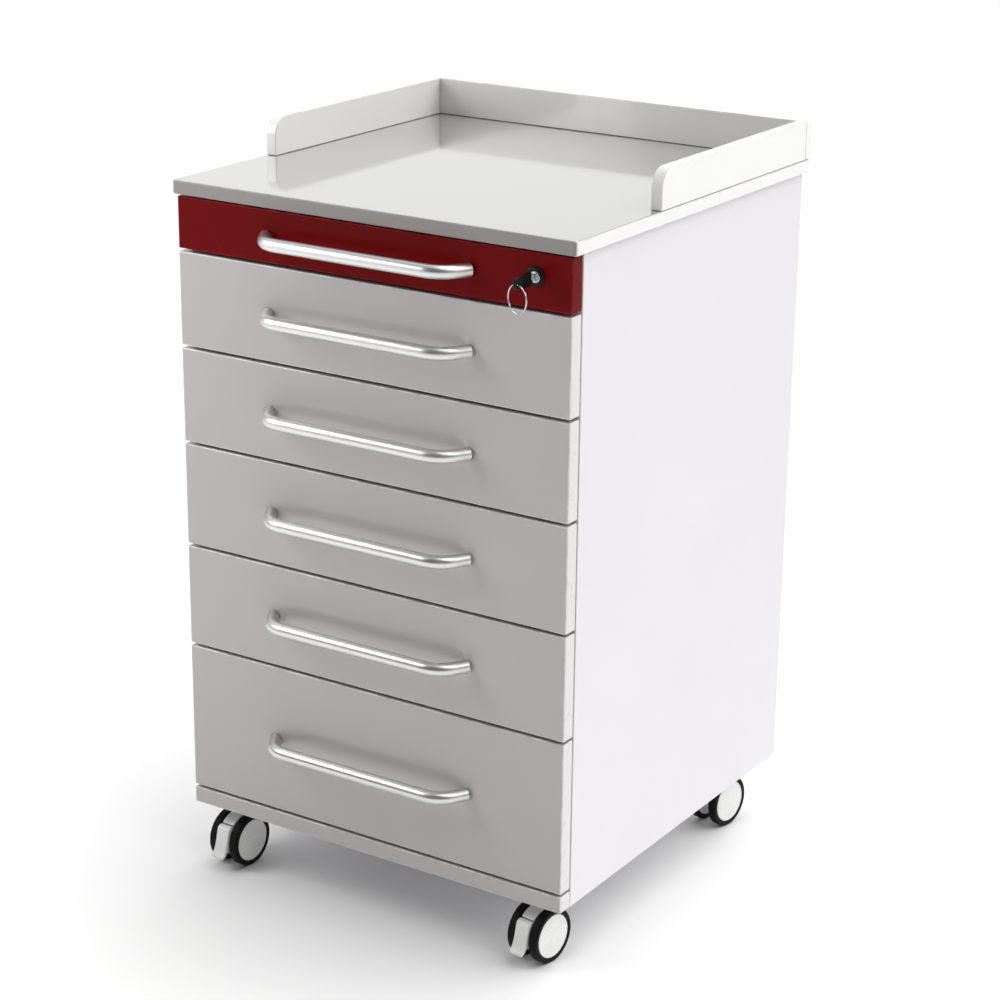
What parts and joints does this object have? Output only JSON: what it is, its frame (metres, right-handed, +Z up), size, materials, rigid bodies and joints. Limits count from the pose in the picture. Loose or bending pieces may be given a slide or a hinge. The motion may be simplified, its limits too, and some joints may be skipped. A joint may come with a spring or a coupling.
{
  "type": "instrument cart",
  "caption": "Mobile cabinet with stacked pull-out drawers, bow handles, a key lock on the top drawer, a worktop with a low rim at the sides and back, and twin-wheel swivel casters.",
  "frame": {"origin": "on the floor, under the middle of the whole cart's box", "axes": "+Z up, -Y towards someone standing at the drawer fronts, +X to that person's right"},
  "size_m": [0.491, 0.5256, 0.822],
  "materials": {
    "worktop": "pale laminate worktop with a soft gloss",
    "white_board": "white melamine-faced board, satin",
    "white_lacquer": "white gloss lacquer on board",
    "red_lacquer": "dark red gloss lacquer on board",
    "box_board": "coated board of the drawer boxes",
    "aluminium": "satin anodised round rod",
    "runner_steel": "powder-coated sheet steel",
    "key_plastic": "black moulded key heads, bright steel blades",
    "lock_black": "black lock housing",
    "bright_steel": "bright nickel-plated steel",
    "tyre": "black tread with a pale cap on the outer face",
    "caster_grey": "light grey moulded nylon"
  },
  "bodies": {
    "cabinet": {"worktop_slab": "worktop", "upstand_left": "worktop", "upstand_right": "worktop", "upstand_back": "worktop", "side_panel_left": "white_board", "side_panel_right": "white_board", "back_panel": "white_board", "base_panel": "white_board", "top_rail": "white_board", "plinth_rail": "white_lacquer", "runner_left_1": "runner_steel", "runner_right_1": "runner_steel", "runner_left_2": "runner_steel", "runner_right_2": "runner_steel", "runner_left_3": "runner_steel", "runner_right_3": "runner_steel", "runner_left_4": "runner_steel", "runner_right_4": "runner_steel", "runner_left_5": "runner_steel", "runner_right_5": "runner_steel", "runner_left_6": "runner_steel", "runner_right_6": "runner_steel"},
    "drawer_1": {"drawer_front_1": "red_lacquer", "drawer_box_1": "box_board", "handle_1": "aluminium", "lock_housing": "lock_black"},
    "drawer_2": {"drawer_front_2": "white_lacquer", "drawer_box_2": "box_board", "handle_2": "aluminium"},
    "drawer_3": {"drawer_front_3": "white_lacquer", "drawer_box_3": "box_board", "handle_3": "aluminium"},
    "drawer_4": {"drawer_front_4": "white_lacquer", "drawer_box_4": "box_board", "handle_4": "aluminium"},
    "drawer_5": {"drawer_front_5": "white_lacquer", "drawer_box_5": "box_board", "handle_5": "aluminium"},
    "drawer_6": {"drawer_front_6": "white_lacquer", "drawer_box_6": "box_board", "handle_6": "aluminium"},
    "key": {"key": "key_plastic", "lock_plug": "bright_steel", "lock_cam": "bright_steel"},
    "key_ring": {"key_ring": "bright_steel"},
    "caster_front_left": {"caster_front_left_body": "caster_grey"},
    "caster_front_left_wheel_left": {"caster_front_left_wheel_left": "tyre"},
    "caster_front_left_wheel_right": {"caster_front_left_wheel_right": "tyre"},
    "caster_front_left_pedal": {"caster_front_left_pedal": "caster_grey"},
    "caster_front_right": {"caster_front_right_body": "caster_grey"},
    "caster_front_right_wheel_left": {"caster_front_right_wheel_left": "tyre"},
    "caster_front_right_wheel_right": {"caster_front_right_wheel_right": "tyre"},
    "caster_front_right_pedal": {"caster_front_right_pedal": "caster_grey"},
    "caster_rear_left": {"caster_rear_left_body": "caster_grey"},
    "caster_rear_left_wheel_left": {"caster_rear_left_wheel_left": "tyre"},
    "caster_rear_left_wheel_right": {"caster_rear_left_wheel_right": "tyre"},
    "caster_rear_right": {"caster_rear_right_body": "caster_grey"},
    "caster_rear_right_wheel_left": {"caster_rear_right_wheel_left": "tyre"},
    "caster_rear_right_wheel_right": {"caster_rear_right_wheel_right": "tyre"}
  },
  "joints": [
    {"name": "drawer_1_slide", "type": "slide", "parent": "cabinet", "child": "drawer_1", "axis": [0, -1, 0], "range_m": [0, 0.32]},
    {"name": "drawer_2_slide", "type": "slide", "parent": "cabinet", "child": "drawer_2", "axis": [0, -1, 0], "range_m": [0, 0.32]},
    {"name": "drawer_3_slide", "type": "slide", "parent": "cabinet", "child": "drawer_3", "axis": [0, -1, 0], "range_m": [0, 0.32]},
    {"name": "drawer_4_slide", "type": "slide", "parent": "cabinet", "child": "drawer_4", "axis": [0, -1, 0], "range_m": [0, 0.32]},
    {"name": "drawer_5_slide", "type": "slide", "parent": "cabinet", "child": "drawer_5", "axis": [0, -1, 0], "range_m": [0, 0.32]},
    {"name": "drawer_6_slide", "type": "slide", "parent": "cabinet", "child": "drawer_6", "axis": [0, -1, 0], "range_m": [0, 0.32]},
    {"name": "key_turn", "type": "hinge", "parent": "drawer_1", "child": "key", "pos_m": [0.199, -0.22416, 0.73975], "axis": [0, -1, 0], "range_deg": [0, 90]},
    {"name": "key_ring_swing", "type": "hinge", "parent": "key", "child": "key_ring", "pos_m": [0.199, -0.25716, 0.73855], "axis": [0.9397, -0.342, 0], "range_deg": [-60, 20]},
    {"name": "caster_front_left_swivel", "type": "hinge", "parent": "cabinet", "child": "caster_front_left", "pos_m": [-0.2, -0.17816, 0.0735], "axis": [0, 0, 1], "continuous": true},
    {"name": "caster_front_left_wheel_left_roll", "type": "hinge", "parent": "caster_front_left", "child": "caster_front_left_wheel_left", "pos_m": [-0.20063, -0.19615, 0.03], "axis": [0.9994, -0.0349, 0], "continuous": true},
    {"name": "caster_front_left_wheel_right_roll", "type": "hinge", "parent": "caster_front_left", "child": "caster_front_left_wheel_right", "pos_m": [-0.20063, -0.19615, 0.03], "axis": [0.9994, -0.0349, 0], "continuous": true},
    {"name": "caster_front_left_pedal_tilt", "type": "hinge", "parent": "caster_front_left", "child": "caster_front_left_pedal", "pos_m": [-0.20143, -0.21914, 0.0455], "axis": [-0.9994, 0.0349, 0], "range_deg": [0, 18]},
    {"name": "caster_front_right_swivel", "type": "hinge", "parent": "cabinet", "child": "caster_front_right", "pos_m": [0.2, -0.17816, 0.0735], "axis": [0, 0, 1], "continuous": true},
    {"name": "caster_front_right_wheel_left_roll", "type": "hinge", "parent": "caster_front_right", "child": "caster_front_right_wheel_left", "pos_m": [0.19781, -0.19603, 0.03], "axis": [0.9925, -0.1219, 0], "continuous": true},
    {"name": "caster_front_right_wheel_right_roll", "type": "hinge", "parent": "caster_front_right", "child": "caster_front_right_wheel_right", "pos_m": [0.19781, -0.19603, 0.03], "axis": [0.9925, -0.1219, 0], "continuous": true},
    {"name": "caster_front_right_pedal_tilt", "type": "hinge", "parent": "caster_front_right", "child": "caster_front_right_pedal", "pos_m": [0.195, -0.21886, 0.0455], "axis": [-0.9925, 0.1219, 0], "range_deg": [0, 18]},
    {"name": "caster_rear_left_swivel", "type": "hinge", "parent": "cabinet", "child": "caster_rear_left", "pos_m": [-0.2, 0.21384, 0.0735], "axis": [0, 0, 1], "continuous": true},
    {"name": "caster_rear_left_wheel_left_roll", "type": "hinge", "parent": "caster_rear_left", "child": "caster_rear_left_wheel_left", "pos_m": [-0.20157, 0.19591, 0.03], "axis": [0.9962, -0.0872, 0], "continuous": true},
    {"name": "caster_rear_left_wheel_right_roll", "type": "hinge", "parent": "caster_rear_left", "child": "caster_rear_left_wheel_right", "pos_m": [-0.20157, 0.19591, 0.03], "axis": [0.9962, -0.0872, 0], "continuous": true},
    {"name": "caster_rear_right_swivel", "type": "hinge", "parent": "cabinet", "child": "caster_rear_right", "pos_m": [0.2, 0.21384, 0.0735], "axis": [0, 0, 1], "continuous": true},
    {"name": "caster_rear_right_wheel_left_roll", "type": "hinge", "parent": "caster_rear_right", "child": "caster_rear_right_wheel_left", "pos_m": [0.1975, 0.19601, 0.03], "axis": [0.9903, -0.1392, 0], "continuous": true},
    {"name": "caster_rear_right_wheel_right_roll", "type": "hinge", "parent": "caster_rear_right", "child": "caster_rear_right_wheel_right", "pos_m": [0.1975, 0.19601, 0.03], "axis": [0.9903, -0.1392, 0], "continuous": true}
  ]
}
